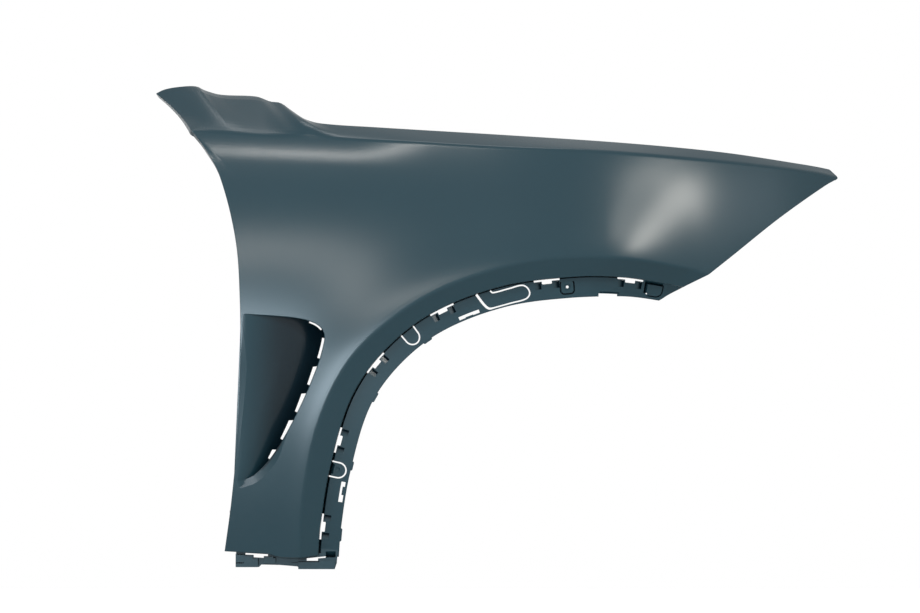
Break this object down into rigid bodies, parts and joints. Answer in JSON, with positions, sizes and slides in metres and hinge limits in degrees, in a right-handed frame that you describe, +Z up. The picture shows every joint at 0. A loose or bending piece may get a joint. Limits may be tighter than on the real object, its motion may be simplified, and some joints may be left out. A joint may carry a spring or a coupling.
{
  "type": "car fender",
  "caption": "Moulded right-hand front fender with a flared wheel-arch band, a recess behind the wheel and slotted mounting flanges.",
  "frame": {"origin": "seat of the middle bolt pad on the hood flange, where the fender hangs on the car body", "axes": "+X forward along the car, +Y inboard, +Z up; the fender is kept upright, as on the car"},
  "size_m": [1.165, 0.2529, 0.8214],
  "materials": {
    "moulded_plastic": "satin blue-grey moulded plastic, unpainted"
  },
  "bodies": {
    "root": {"fender": "moulded_plastic"}
  },
  "joints": []
}
